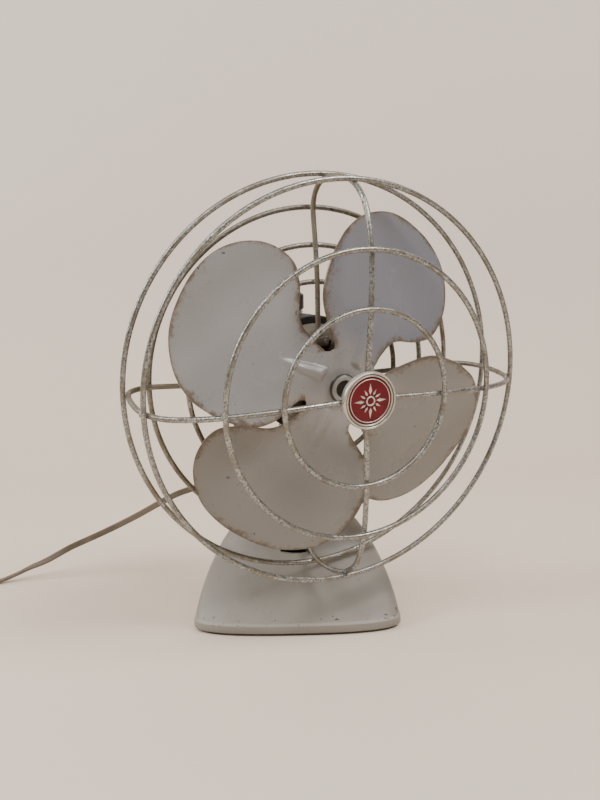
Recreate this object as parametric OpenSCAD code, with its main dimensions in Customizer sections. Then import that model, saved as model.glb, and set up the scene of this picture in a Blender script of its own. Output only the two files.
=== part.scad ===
// Oscillating desk fan on a flared pedestal base, millimetres, +Z up.
// The floor is z = 0, the tilt hinge stands over the origin and the base faces -Y.

/* [Guard] */
// outer radius to the middle of the front rim wire
guard_front_r = 152.5; // [145:0.5:160]
// radius to the middle of the rear rim wire
guard_rear_r = 159.5; // [150:0.5:165]
// wire radius of rings and spokes
wire_r = 2.1; // [1.5:0.1:2.6]
// turn of the whole guard about the fan axis, degrees
guard_spin = -2.5; // [-6:0.5:6]

/* [Blades] */
// number of blades pressed in one sheet
blade_count = 4; // [3:1:5]
// tip radius
blade_tip_r = 139; // [130:1:142]
// sheet thickness
blade_t = 1.2; // [0.8:0.1:2]
// rise toward the viewer for each millimetre across a blade
blade_pitch = 0.24; // [0.15:0.01:0.35]
// fall toward the motor for each millimetre along a blade
blade_cone = 0.2; // [0:0.01:0.25]
// angle of the first blade, degrees
blade_phase = 55.6; // [0:0.2:89]

/* [Motor] */
// outer radius of the black motor band
band_r = 48; // [46.5:0.5:49]
// shaft radius
shaft_r = 4; // [3:0.5:5]
// running clearance of shaft, pivot and hinge
run_fit = 0.05; // [0.02:0.01:0.1]

/* [Stand] */
// height of the tilt hinge above the floor
hinge_z = 138; // [130:1:145]
// from the tilt hinge up to the fan axis
head_rise = 80; // [78:1:84]
// forward tilt of the head, degrees
tilt = 7; // [0:1:12]
// turn of the head on its swivel pin, degrees
yaw = 24; // [-30:1:30]
// size of the base in plan
base_scale = 1; // [0.95:0.01:1.1]
// wall of the pressed base shell
base_wall = 2; // [1.5:0.1:3]

/* [Cord] */
// broad side of the flat twin cord
cord_w = 6; // [5:0.5:7]
// narrow side of the flat twin cord
cord_t = 3.4; // [2.8:0.1:4]

/* [Hidden] */
gap = 0.3;
eps = 0.01;

paint = [0.62, 0.60, 0.56];
wire_grey = [0.68, 0.67, 0.64];
dark = [0.12, 0.11, 0.10];
steel = [0.65, 0.66, 0.68];
brass = [0.72, 0.58, 0.30];
copper = [0.70, 0.38, 0.20];
rubber_brown = [0.33, 0.26, 0.20];
enamel = [0.55, 0.13, 0.14];

// ---- frames -------------------------------------------------------------
// trunnion frame: origin on the tilt hinge, Z along the swivel pin
module trunnion_frame() {
  translate([0, 0, hinge_z]) rotate([tilt, 0, 0]) children();
}

// head frame: origin where the swivel pin line meets the fan axis,
// X to the viewer's right, Y up, Z forward along the fan axis
module head_frame() {
  trunnion_frame()
    translate([0, 0, head_rise]) rotate([0, 0, yaw]) rotate([90, 0, 0]) children();
}

// rotor frame: the head frame turned so that the first blade is on X
module rotor_frame() {
  head_frame() rotate([0, 0, blade_phase]) children();
}

// cylinder standing along the head frame's Y axis, from y0 to y1
module up_cyl(x, z, r, y0, y1, r2 = -1) {
  translate([x, y0, z]) rotate([-90, 0, 0])
    cylinder(h = y1 - y0, r1 = r, r2 = r2 < 0 ? r : r2, $fn = 64);
}

module ring_wire(r, z, w = wire_r) {
  translate([0, 0, z]) rotate_extrude($fn = 120) translate([r, 0]) circle(r = w, $fn = 24);
}

module tube_z(ro, ri, z0, z1) {
  translate([0, 0, z0]) difference() {
    cylinder(h = z1 - z0, r = ro, $fn = 96);
    translate([0, 0, -1]) cylinder(h = z1 - z0 + 2, r = ri, $fn = 96);
  }
}

// ---- swept tube of an oval section along a list of points ----------------
function unit(v) = v / norm(v);
function tangent(p, i) =
  unit(i == 0 ? p[1] - p[0] : i == len(p) - 1 ? p[i] - p[i - 1] : p[i + 1] - p[i - 1]);
// section axes: side lies level, over points away from it
function side_of(t, ref) = unit(cross(t, ref));
function ring_at(c, t, ref, a, b, n, turn) =
  let (s = side_of(t, ref), u = cross(s, t))
  [for (k = [0 : n - 1])
    let (w = 360 * k / n, x = a * cos(w), y = b * sin(w))
    c + s * (x * cos(turn) - y * sin(turn)) + u * (x * sin(turn) + y * cos(turn))];

module sweep(path, a, b, ref, n = 10, turns = []) {
  m = len(path);
  pts = [for (i = [0 : m - 1])
    each ring_at(path[i], tangent(path, i), ref, a, b, n, len(turns) == m ? turns[i] : 0)];
  sides = [for (i = [0 : m - 2], k = [0 : n - 1])
    let (k2 = (k + 1) % n)
    each [[i * n + k, i * n + k2, (i + 1) * n + k2], [i * n + k, (i + 1) * n + k2, (i + 1) * n + k]]];
  low = [for (k = [0 : n - 1]) n - 1 - k];
  high = [for (k = [0 : n - 1]) (m - 1) * n + k];
  polyhedron(points = pts, faces = concat(sides, [low, high]), convexity = 6);
}

// points of a smooth curve through the given points, s steps a span
function curve(p, s) =
  [for (i = [0 : len(p) - 2], j = [0 : s - 1])
    let (t = j / s,
         a = p[max(i - 1, 0)], b = p[i], c = p[i + 1], d = p[min(i + 2, len(p) - 1)])
    0.5 * (2 * b + (c - a) * t + (2 * a - 5 * b + 4 * c - d) * t * t
           + (3 * b - a - 3 * c + d) * t * t * t),
   p[len(p) - 1]];

// ---- base ----------------------------------------------------------------
// plan of the base at each height: [height, half width, Y of the widest line,
// reach in front of that line, reach behind it, fullness of the front corners]
base_levels = [
  [2, 86, -46, 24, 103, 2.7], [3.5, 87, -46, 25, 104, 2.7], [8.5, 87, -46, 25, 104, 2.7],
  [10.5, 86, -45.5, 23.5, 102.5, 2.6], [17.5, 84.5, -41, 21, 97, 2.5], [25, 82.5, -35, 19.5, 90, 2.4],
  [35, 79, -25.5, 20, 79, 2.2], [45, 74.5, -15, 22, 67, 2], [56, 68.5, -3.5, 25, 52.5, 1.75],
  [66, 62, 1, 24, 44, 1.65], [75, 55, 6, 24, 35, 1.6], [83, 46.5, 8.5, 24, 25.5, 1.55],
  [89, 38, 6, 22, 23, 1.6], [93.5, 29, 3, 19.5, 20, 1.8], [96.5, 21, 0, 16.5, 18, 2]
];
plan_steps = 72;

// point of a plan at angle t, drawn in by the inset
function plan_point(l, t, inset) =
  let (c = cos(t), s = sin(t), full = s < 0 ? l[5] : 2.1,
       reach = (s < 0 ? l[3] : l[4]) * base_scale - inset)
  [(l[1] * base_scale - inset) * sign(c) * pow(abs(c), 2 / full),
   l[2] * base_scale + reach * sign(s) * pow(abs(s), 2 / full)];
module plan(l, inset = 0)
  polygon([for (k = [0 : plan_steps - 1]) plan_point(l, 360 * k / plan_steps, inset)]);

module base_slice(i, inset, z_drop) {
  translate([0, 0, base_levels[i][0] - z_drop]) linear_extrude(eps) plan(base_levels[i], inset);
}

module base_body(inset, z_drop) {
  for (i = [0 : len(base_levels) - 2]) hull() {
    base_slice(i, inset, z_drop);
    base_slice(i + 1, inset, z_drop);
  }
}

slot_z = 58;
// the shell is one pressing; it is kept as four stacked bands so that collision follows its flare
module base_band(z0, z1) color(paint) difference() {
  intersection() {
    base_body(0, 0);
    translate([-200, -200, z0]) cube([400, 400, z1 - z0]);
  }
  base_body(base_wall, base_wall * 0.9);
  translate([0, 0, -1]) linear_extrude(5) plan(base_levels[0], base_wall);
  translate([0, 0, 85]) cylinder(h = 30, r = 12.3, $fn = 64);
  translate([0, -10, slot_z]) rotate([90, 0, 0]) linear_extrude(40)
    polygon([[-13.5, 1.8], [-13.5, -0.2], [-9, -1], [-4, -1.6], [4, -1.6], [9, -1], [13.5, -0.2], [13.5, 1.8]]);
  translate(gland_at) rotate([0, gland_lean, 135]) cylinder(h = 16, r = 4.7, $fn = 40, center = true);
}

module base_skirt() base_band(0, 30);
module base_flare() base_band(30, 54);
module base_shoulder() base_band(54, 76);
module base_crown() base_band(76, 100);

module base_plate() color(steel) {
  difference() {
    translate([0, 0, 2]) linear_extrude(1.6) plan(base_levels[0], base_wall + gap);
    for (p = plate_screws) translate([p[0], p[1], 0]) cylinder(h = 6, r = 1.8, $fn = 24);
    for (x = [-8 : 8 : 8], y = [14 : 8 : 30]) translate([x, y, 0]) cylinder(h = 6, r = 2.2, $fn = 24);
  }
}

// soft pad under the plate, cut away round the screws and the vent slots
module base_pad() color(dark) difference() {
  linear_extrude(2) plan(base_levels[0], 5);
  for (p = plate_screws) translate([p[0], p[1], -1]) cylinder(h = 6, r = 5, $fn = 40);
  translate([0, 22, -1]) cylinder(h = 4, r = 14, $fn = 64);
}

plate_screws = [[-70, -40], [70, -40], [-26, 38], [26, 38]];
module base_tabs() color(steel)
  for (p = plate_screws) translate([p[0], p[1], 3.6]) difference() {
    translate([-5, -5, 0]) cube([10, 10, 4]);
    translate([0, 0, -1]) cylinder(h = 9, r = 1.6, $fn = 24);
  }

module base_screws() color(steel)
  for (p = plate_screws) translate([p[0], p[1], 1]) difference() {
    union() {
      cylinder(h = 1, r = 3.2, $fn = 32);
      cylinder(h = 8, r = 1.6, $fn = 24);
    }
    translate([-4, -0.4, -1]) cube([8, 0.8, 1.5]);
  }

// cast neck: socket under the shell top and the two ears of the tilt hinge
ear_r = 10;
module neck() color(paint) {
  difference() {
    union() {
      translate([0, 0, 87]) cylinder(h = 11, r = 12, $fn = 96);
      translate([0, 0, 96.8]) cylinder(h = 3.2, r1 = 20.5, r2 = 18.5, $fn = 96);
      translate([0, 0, 100]) cylinder(h = 19, r1 = 17.5, r2 = 14, $fn = 96);
      for (s = [-1, 1]) {
        translate([s * 10.5 - 2.5, -ear_r, 118]) cube([5, 2 * ear_r, hinge_z - 118]);
        translate([s * 10.5 - 2.5, 0, hinge_z]) rotate([0, 90, 0]) cylinder(h = 5, r = ear_r, $fn = 64);
      }
    }
    translate([0, 0, 80]) cylinder(h = 60, r = 5, $fn = 48);
    translate([-20, 0, hinge_z]) rotate([0, 90, 0]) cylinder(h = 40, r = 3 + run_fit, $fn = 48);
  }
}

module neck_nut() color(steel)
  translate([0, 0, 88.5]) difference() {
    cylinder(h = 5.5, r = 15, $fn = 6);
    translate([0, 0, -1]) cylinder(h = 8, r = 12 + run_fit, $fn = 96);
  }

// ---- speed switch and reactor inside the base ----------------------------
switch_pivot = [0, -2, slot_z];
lever_angle = 23;
module speed_switch() color(dark) {
  translate([-16, -14, slot_z - 14]) difference() {
    cube([32, 24, 10]);
    translate([4, 3, -1]) cube([24, 18, 7]);
  }
  translate([0, -2, slot_z - 4.1]) cylinder(h = 9, r = 2.5, $fn = 40);
}

module switch_bracket() color(steel)
  for (x = [-18, 16]) translate([x, -14, 3.6]) cube([2, 24, slot_z - 7.6]);

module speed_lever() color(steel) translate(switch_pivot) rotate([0, 0, lever_angle]) difference() {
  union() {
    translate([0, 0, -1]) cylinder(h = 2, r = 6, $fn = 48);
    translate([-1.2, -29, -0.1]) cube([2.4, 27, 1.3]);
    translate([-1.2, -30.5, -0.9]) cube([2.4, 2, 4.5]);
  }
  translate([0, 0, -2]) cylinder(h = 4, r = 2.5 + run_fit, $fn = 40);
}

module speed_reactor() color([0.35, 0.33, 0.31])
  translate([-24, 13, 8]) difference() {
    cube([48, 22, 30]);
    translate([8, -1, 8]) cube([10, 24, 14]);
    translate([30, -1, 8]) cube([10, 24, 14]);
  }

module reactor_coil() color(copper)
  difference() {
    translate([-9.5, 7.5, 16.5]) cube([19, 33, 13]);
    translate([-6.3, 12.7, 10]) cube([12.6, 22.6, 30]);
  }

// ---- trunnion --------------------------------------------------------------
pin_r = 5;
anchor_r = 22;
module trunnion() color(paint) trunnion_frame() {
  difference() {
    union() {
      translate([-7.7, 0, 0]) rotate([0, 90, 0]) cylinder(h = 15.4, r = 9, $fn = 64);
      translate([-7.7, -7, 0]) cube([15.4, 14, 12]);
      translate([0, 0, 11]) cylinder(h = 4, r = 13, $fn = 64);
      translate([6, -4, 11]) cube([anchor_r - 6, 8, 4]);
      translate([anchor_r, 0, 11]) cylinder(h = 4, r = 4, $fn = 40);
      translate([anchor_r, 0, 14]) cylinder(h = 18.7 - gap, r = 2.5, $fn = 40);
      translate([0, 0, 11]) cylinder(h = 19, r = pin_r, $fn = 64);
    }
    translate([-20, 0, 0]) rotate([0, 90, 0]) cylinder(h = 40, r = 3, $fn = 48);
  }
}

module swivel_washer() color(brass) trunnion_frame()
  translate([0, 0, 15]) difference() {
    cylinder(h = 1, r = 12, $fn = 64);
    translate([0, 0, -1]) cylinder(h = 3, r = pin_r + 0.1, $fn = 64);
  }

module tilt_bolt() color(steel) trunnion_frame() rotate([0, -90, 0]) {
  translate([0, 0, -16]) cylinder(h = 2.7, r = 6, $fn = 6);
  translate([0, 0, -14]) cylinder(h = 38, r = 3, $fn = 48);
}

module thumb_nut() color(steel) trunnion_frame() rotate([0, -90, 0])
  translate([0, 0, 13.3]) difference() {
    union() {
      cylinder(h = 6, r1 = 7, r2 = 5.5, $fn = 48);
      translate([-12, -1.5, 1]) cube([24, 3, 7]);
      for (s = [-1, 1]) translate([s * 12, 0, 6]) rotate([90, 0, 0]) cylinder(h = 3, r = 4, $fn = 40, center = true);
    }
    translate([0, 0, -1]) cylinder(h = 12, r = 3 + run_fit, $fn = 48);
    translate([0, 0, 6]) cylinder(h = 6, r = 4.4, $fn = 48);
  }

// ---- motor, in the head frame ------------------------------------------------
band_front = 40;
band_rear = 13;
function rib_points(ro, depth, n) =
  [for (i = [0 : n - 1], j = [0 : 3])
    let (a = 360 / n * (i + [0, 0.12, 0.5, 0.62][j]), r = j < 1 || j > 2 ? ro - depth : ro)
    [r * cos(a), r * sin(a)]];

module motor_band() color(dark) head_frame() difference() {
  rotate_extrude($fn = 120) polygon([
    [39, band_rear], [band_r - 3, band_rear], [band_r - 1.5, band_rear + 1.5], [band_r - 1.5, band_front - 6],
    [band_r, band_front - 5], [band_r, band_front - 1], [band_r - 1, band_front], [42, band_front],
    [42, band_front - 8], [39, band_front - 8]
  ]);
  for (a = [45 : 90 : 315]) rotate([0, 0, a]) translate([44.5, 0, band_front - 9]) cylinder(h = 12, r = 1.2, $fn = 24);
}

module motor_front_shell() color(paint) head_frame() difference() {
  rotate_extrude($fn = 96) polygon([
    [38.7, 32], [38.7, 32.4], [41.7, 32.4], [41.7, 39.8], [40.6, 42.2], [37, 44.4], [30, 46.6], [12, 48.8],
    [10.4, 49.6], [10, 50.6], [10, 61], [9, 62], [7, 62], [7, 48.5], [7, 47], [12, 46.8], [29.6, 44.6],
    [35.8, 42.6], [38.6, 41], [39.7, 38.8], [39.7, 34.4], [36.7, 34.4], [36.7, 32]
  ]);
  for (a = [22.5 : 45 : 360]) rotate([0, 0, a]) translate([17, -4, 40]) cube([14, 8, 12]);
}

module motor_rear_shell() color(paint) head_frame()
  rotate_extrude($fn = 96) polygon([
    [38.7, 19], [38.7, 12.7], [44.6, 12.7], [44.6, 9.5], [43, 5], [38.4, 1.8], [31, 0.4], [12, 0.4],
    [12, 2.4], [30.6, 2.4], [37.2, 3.6], [41.3, 6.3], [42.6, 10.7], [36.7, 10.7], [36.7, 19]
  ]);

module stator_core() color([0.42, 0.42, 0.44]) head_frame() difference() {
  tube_z(38.9, 21.6, 19.3, 31.7);
  for (a = [0 : 30 : 330]) rotate([0, 0, a]) translate([27, 0, 18]) cylinder(h = 15, r = 3.6, $fn = 32);
}

module stator_windings() color(copper) head_frame()
  for (z = [15.6, 35.6]) translate([0, 0, z]) rotate_extrude($fn = 96)
    translate([28.5, 0]) scale([1.9, 1]) circle(r = 3.2, $fn = 40);

module bearings() color(brass) head_frame() {
  tube_z(7, shaft_r + run_fit, 49.5, 61);
  tube_z(7, shaft_r + run_fit, -2.4, 8);
}

module band_screws() color(steel) head_frame()
  for (a = [45 : 90 : 315]) rotate([0, 0, a]) translate([44.5, 0, band_front - 8]) {
    cylinder(h = 9, r = 1.2, $fn = 24);
    translate([0, 0, 8.1]) cylinder(h = 1.5, r1 = 2.3, r2 = 1.6, $fn = 32);
  }

// where the oscillation knob stands on the gear case: [across, forward]
knob_at = [5, -9];

module gear_case() color(paint) head_frame() difference() {
  union() {
    translate([0, 0, -40]) cylinder(h = 40, r = 28, $fn = 96);
    translate([0, 0, -3]) cylinder(h = 11, r = 9.5, $fn = 64);
    for (a = [45 : 90 : 315]) rotate([0, 0, a]) translate([29.6, 0, -40]) cylinder(h = 9, r = 4, $fn = 40);
    up_cyl(knob_at[0], knob_at[1], 9, 18, 45);
    up_cyl(0, 0, 11, -64, -47);
    up_cyl(15, -26, 6, -36, -18);
    translate([-9, -63.5, -12]) cube([12, 49, 10.6]);
  }
  translate([0, 0, -41]) cylinder(h = 38.4, r = 25.4, $fn = 96);
  translate([0, 0, -5]) cylinder(h = 20, r = 7, $fn = 96);
  up_cyl(0, 0, pin_r + run_fit, -65, -49.5);
  up_cyl(knob_at[0], knob_at[1], 3 + run_fit, 10, 46);
  up_cyl(15, -26, 3 + run_fit, -40, -10);
  for (a = [45 : 90 : 315]) rotate([0, 0, a]) translate([29.6, 0, -41]) cylinder(h = 8, r = 1.5, $fn = 32);
}

module gear_cover() color(paint) head_frame() difference() {
  union() {
    translate([0, 0, -43]) cylinder(h = 2.7, r = 28, $fn = 96);
    translate([0, 0, -46.5]) cylinder(h = 3.5, r1 = 17, r2 = 24, $fn = 96);
    for (a = [45 : 90 : 315]) rotate([0, 0, a]) translate([29.6, 0, -43]) cylinder(h = 2.7, r = 4, $fn = 40);
  }
  for (a = [45 : 90 : 315]) rotate([0, 0, a]) translate([29.6, 0, -50]) cylinder(h = 12, r = 1.7, $fn = 32);
}

module gear_screws() color(steel) head_frame()
  for (a = [45 : 90 : 315]) rotate([0, 0, a]) translate([29.6, 0, -45]) difference() {
    union() {
      cylinder(h = 2, r1 = 2.2, r2 = 3.2, $fn = 40);
      cylinder(h = 11, r = 1.4, $fn = 32);
    }
    translate([-4, -0.4, -1]) cube([8, 0.8, 1.8]);
  }

module oscillator_knob() color(dark) head_frame() translate([knob_at[0], 0, knob_at[1]]) {
  up_cyl(0, 0, 3, 26, 47);
  up_cyl(0, 0, 9, 46.4, 48, r2 = 10);
  difference() {
    up_cyl(0, 0, 10, 48, 59);
    for (a = [0 : 30 : 330])
      translate([11 * cos(a), 47, 11 * sin(a)]) rotate([-90, 0, 0]) cylinder(h = 13, r = 1.7, $fn = 24);
  }
  up_cyl(0, 0, 9.6, 59, 60.4, r2 = 8);
}

// ---- rotor: shaft, rotor core, worm, hub and blades ----------------------------
module shaft() color(steel) rotor_frame()
  translate([0, 0, -38]) cylinder(h = 129, r = shaft_r, $fn = 64);

module rotor_core() color([0.55, 0.55, 0.58]) rotor_frame() {
  tube_z(21.1, shaft_r, 18.5, 32.5);
  tube_z(17, 12, 32.5, 34);
  tube_z(17, 12, 17, 18.5);
}

module worm() color(steel) rotor_frame() rotate_extrude($fn = 64)
  polygon(concat([[shaft_r, -37], [shaft_r, -15]],
    [for (i = [0 : 8]) let (z = -15 - i * 2.4) each [[5, z], [5, z - 0.5], [6, z - 1.1], [6, z - 1.6]]],
    [[5, -37]]));

module blade_hub() color(wire_grey) rotor_frame() difference() {
  union() {
    translate([0, 0, 76]) cylinder(h = 15, r = 10.5, $fn = 64);
    translate([0, 0, 91]) cylinder(h = 2.25, r = 15.5, $fn = 64);
    translate([0, 0, 93]) cylinder(h = 5.5, r = 12.5, $fn = 64);
  }
  translate([0, 0, 70]) cylinder(h = 22, r = shaft_r, $fn = 64);
  translate([0, 0, 91]) cylinder(h = 10, r = 6.5, $fn = 64);
  translate([0, 0, 84]) rotate([0, 90, 0]) cylinder(h = 20, r = 2, $fn = 32);
}

module hub_screw() color(steel) rotor_frame()
  translate([shaft_r + 0.1, 0, 84]) rotate([0, 90, 0]) difference() {
    cylinder(h = 6.8, r = 2, $fn = 32);
    translate([-3, -0.3, 6]) cube([6, 0.6, 2]);
  }

// blade sheet: edges of one blade as [radius, leading edge, trailing edge], degrees from
// the blade's own axis; blades turn clockwise seen from the front, so the lead is negative
seat_r = 13.1;
notch_r = 30;
sector_mid = 6;
blade_edges = [
  [31.5, -33, 45], [35, -31, 43], [40, -28, 45], [46, -27, 47], [53, -26.5, 49], [60, -28, 50],
  [66, -31, 50], [72, -34.5, 49.5], [79, -37.5, 48], [86, -39, 45.5], [94, -40, 42.5],
  [102, -39, 39.5], [110, -36.5, 36], [117, -33.5, 33], [123, -30, 29.5], [128, -26, 26],
  [132, -22, 22], [135, -18, 18], [137, -14, 14.5], [138.3, -9.5, 11], [139, -5, 6.5]
];
edge_scale = blade_tip_r / 139;
function smooth(a, b, x) = let (t = max(0, min(1, (x - a) / (b - a)))) t * t * (3 - 2 * t);
// height of the sheet's back face at radius r and angle a from the blade's axis
function blade_height(r, a) =
  let (w = r * sin(a),
       free = smooth(notch_r, 62, r),
       edge_fade = 1 - (1 - free) * pow((a - sector_mid) / 45, 2),
       rib_w = max(2, 6.5 - 0.08 * (r - 18)),
       rib = 3 * exp(-pow(w / rib_w, 2)) * smooth(15, 21, r) * (1 - smooth(38, 64, r)))
  93.3 - blade_cone * max(0, r - 16) * (0.8 * (1 - free) + free * cos(a))
    + blade_pitch * w * edge_fade * smooth(14, 34, r) + 0.00074 * w * w * free + rib;

// the whole pressed sheet is one solid: full rings of points out to the notches,
// then one grid of points for each blade; layer 0 is the front face, layer 1 the back
across = 24;
ring_rows = [seat_r, 15, 17, 19.5, 23, 26.5, notch_r];
wing_rows = [for (e = blade_edges) e * edge_scale];
ring_cols = across * blade_count;
ring_size = len(ring_rows) * ring_cols;
wing_size = len(wing_rows) * (across + 1);
layer_size = ring_size + blade_count * wing_size;

function sheet_point(r, centre, a, layer) =
  [r * cos(centre + a), r * sin(centre + a), blade_height(r, a) + (layer == 0 ? blade_t : 0)];
function layer_points(layer) = concat(
  [for (r = ring_rows, b = [0 : blade_count - 1], j = [0 : across - 1])
    sheet_point(r, b * 360 / blade_count, sector_mid + 360 / blade_count * (j / across - 0.5), layer)],
  [for (b = [0 : blade_count - 1], e = wing_rows, j = [0 : across])
    sheet_point(e[0], b * 360 / blade_count,
                (e[1] + (e[2] - e[1]) * j / across) / edge_scale, layer)]);
// index of a point of blade b, row i (row 0 is the last full ring), column j
function wing_id(b, i, j) =
  i == 0 ? ring_size - ring_cols + (b * across + j) % ring_cols
         : ring_size + b * wing_size + (i - 1) * (across + 1) + j;
function ring_id(i, j) = i * ring_cols + j % ring_cols;
function both(a, b, c, d) = [
  [a, c, b], [c, d, b],
  [layer_size + a, layer_size + b, layer_size + c], [layer_size + c, layer_size + b, layer_size + d]
];
function wall(a, b) = [[a, layer_size + a, b], [b, layer_size + a, layer_size + b]];

module blades() color(wire_grey) rotor_frame()
  polyhedron(points = concat(layer_points(0), layer_points(1)), convexity = 8, faces = concat(
    [for (i = [0 : len(ring_rows) - 2], j = [0 : ring_cols - 1])
      each both(ring_id(i, j), ring_id(i + 1, j), ring_id(i, j + 1), ring_id(i + 1, j + 1))],
    [for (b = [0 : blade_count - 1], i = [0 : len(wing_rows) - 1], j = [0 : across - 1])
      each both(wing_id(b, i, j), wing_id(b, i + 1, j), wing_id(b, i, j + 1), wing_id(b, i + 1, j + 1))],
    [for (j = [0 : ring_cols - 1]) each wall(ring_id(0, j), ring_id(0, j + 1))],
    [for (b = [0 : blade_count - 1], i = [0 : len(wing_rows) - 1])
      each concat(wall(wing_id(b, i + 1, 0), wing_id(b, i, 0)),
                  wall(wing_id(b, i, across), wing_id(b, i + 1, across)))],
    [for (b = [0 : blade_count - 1], j = [0 : across - 1])
      each wall(wing_id(b, len(wing_rows), j + 1), wing_id(b, len(wing_rows), j))]));

// ---- oscillator ------------------------------------------------------------------
crank_x = 15;
crank_z = -26;
crank_r = 10.8;
link_len = 26.4;
// anchor pin and crank pin seen in the head frame at the resting yaw
anchor = [anchor_r * cos(yaw), anchor_r * sin(yaw)];
reach = norm(anchor - [crank_x, crank_z]);
pin_turn = acos((crank_r * crank_r + reach * reach - link_len * link_len) / (2 * crank_r * reach));
to_anchor = atan2(anchor[1] - crank_z, anchor[0] - crank_x);
pin_at = [crank_x + crank_r * cos(to_anchor + pin_turn), crank_z + crank_r * sin(to_anchor + pin_turn)];

module worm_wheel() color(brass) head_frame() {
  translate([crank_x, -4, crank_z]) rotate([-90, 0, 0]) linear_extrude(8) difference() {
    polygon(rib_points(8.7, 0.9, 30));
    circle(r = 3, $fn = 48);
  }
}

module crank() color(steel) head_frame() {
  up_cyl(crank_x, crank_z, 3, -37, 5);
  up_cyl(crank_x, crank_z, 3.9, -16.4, -15);
  up_cyl(crank_x, crank_z, 15, -39.5, -36.4);
  up_cyl(pin_at[0], pin_at[1], 2.5, -48, -39.5);
}

module crank_link() color(steel) head_frame() difference() {
  translate([0, -44.8, 0]) rotate([90, 0, 0]) linear_extrude(2.5)
    difference() {
      hull() {
        translate([pin_at[0], pin_at[1]]) circle(r = 4.5, $fn = 40);
        translate(anchor) circle(r = 4.5, $fn = 40);
      }
      translate([pin_at[0], pin_at[1]]) circle(r = 2.5 + run_fit, $fn = 40);
      translate(anchor) circle(r = 2.7, $fn = 40);
    }
}

// ---- guard -------------------------------------------------------------------------
// one spoke from the motor face, round the rim and back to the badge: [radius, height]
spoke_path = [
  [27, 50.5], [50, 48], [75.2, 45.6], [103.7, 40.6], [124, 36], [134, 34.8], [143, 37.5], [150, 44],
  [154.2, 54], [156, 70], [154.5, 86], [149.6, 98], [140.5, 109.5], [128, 118], [110, 124.8],
  [90, 128.6], [65, 130.8], [40, 131.4], [16, 131.5]
];

// the front half of a spoke is welded a few degrees round from its rear half: [rear, front]
spoke_twists = [[0, -0.6], [0, -1.6], [0.9, 3.3], [0, 3.2]];

module spoke(i) color(wire_grey) head_frame() rotate([0, 0, 90 * i + guard_spin])
  sweep(curve([for (p = spoke_path)
    let (twist = spoke_twists[i], a = twist[0] + (twist[1] - twist[0]) * smooth(50, 112, p[1]))
    [p[0] * cos(a), p[0] * sin(a), p[1]]], 2), wire_r, wire_r, [0, 1, 0], 10);

module spoke_right() spoke(0);
module spoke_top() spoke(1);
module spoke_left() spoke(2);
module spoke_bottom() spoke(3);

module rim_front() color(wire_grey) head_frame() ring_wire(guard_front_r + 1.4, 97);
module rim_rear() color(wire_grey) head_frame() ring_wire(guard_rear_r - 1.6, 53);
module front_rings() color(wire_grey) head_frame() {
  ring_wire(106.2, 129.8);
  ring_wire(65, 134.7);
}
module rear_rings() color(wire_grey) head_frame() {
  ring_wire(132.7, 30.8);
  ring_wire(103.7, 36.5);
  ring_wire(75.2, 41.5);
}

module guard_clips() color(steel) head_frame()
  for (a = [0 : 90 : 270]) rotate([0, 0, a + guard_spin]) difference() {
    union() {
      translate([25.5, -7, 50]) cube([7, 14, 4.1]);
      for (s = [-1, 1]) translate([25.5, s * 6 - 2, 47.3]) cube([7, 4, 3]);
    }
    translate([20, 0, 50.2]) rotate([0, 90, 0]) cylinder(h = 20, r = wire_r, $fn = 40);
    translate([20, -wire_r, 45]) cube([20, 2 * wire_r, 5.2]);
    for (s = [-1, 1]) translate([29, s * 5, 45]) cylinder(h = 12, r = 1.2, $fn = 24);
  }

module guard_screws() color(steel) head_frame()
  for (a = [0 : 90 : 270], s = [-1, 1]) rotate([0, 0, a + guard_spin]) translate([29, s * 5, 47.4]) {
    cylinder(h = 7, r = 1.2, $fn = 24);
    translate([0, 0, 6.7]) cylinder(h = 1.4, r1 = 2.4, r2 = 1.6, $fn = 32);
  }

// ---- badge ---------------------------------------------------------------------------
module badge_back() color(steel) head_frame()
  translate([0, 0, 126.7]) cylinder(h = 2.6, r = 17.5, $fn = 96);

module badge_bezel() color([0.80, 0.77, 0.68]) head_frame() rotate_extrude($fn = 120)
  polygon([[0, 133.7], [21, 133.7], [22, 134.5], [22.2, 137.5], [21.2, 138.7], [19.6, 138.3], [19, 137.1], [0, 137.1]]);

module badge_face() color(enamel) head_frame() {
  translate([0, 0, 137.1]) cylinder(h = 0.8, r = 18.6, $fn = 96);
  for (a = [0 : 30 : 330]) rotate([0, 0, a]) translate([5, -0.4, 137.9]) cube([10.5, 0.8, 0.4]);
  translate([0, 0, 137.9]) difference() {
    cylinder(h = 0.4, r = 4, $fn = 48);
    translate([0, 0, -1]) cylinder(h = 3, r = 3.2, $fn = 48);
  }
}

// ---- cord, coil and plug -----------------------------------------------------------
gland_at = [-27.4, 27.4, 83.6];
gland_lean = 50;
module cord_gland() color(dark) translate(gland_at) rotate([0, gland_lean, 135]) difference() {
  union() {
    translate([0, 0, -5]) cylinder(h = 9, r = 4.5, $fn = 48);
    translate([0, 0, -6.4]) cylinder(h = 2, r = 6, $fn = 48);
    translate([0, 0, 3.4]) cylinder(h = 2, r = 6.3, $fn = 48);
    translate([0, 0, 5.4]) cylinder(h = 20.6, r1 = 5.6, r2 = 3.9, $fn = 48);
  }
  translate([0, 0, -10]) scale([cord_w + 0.2, cord_t + 0.2, 1] / 2) cylinder(h = 40, r = 1, $fn = 48);
}

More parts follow.
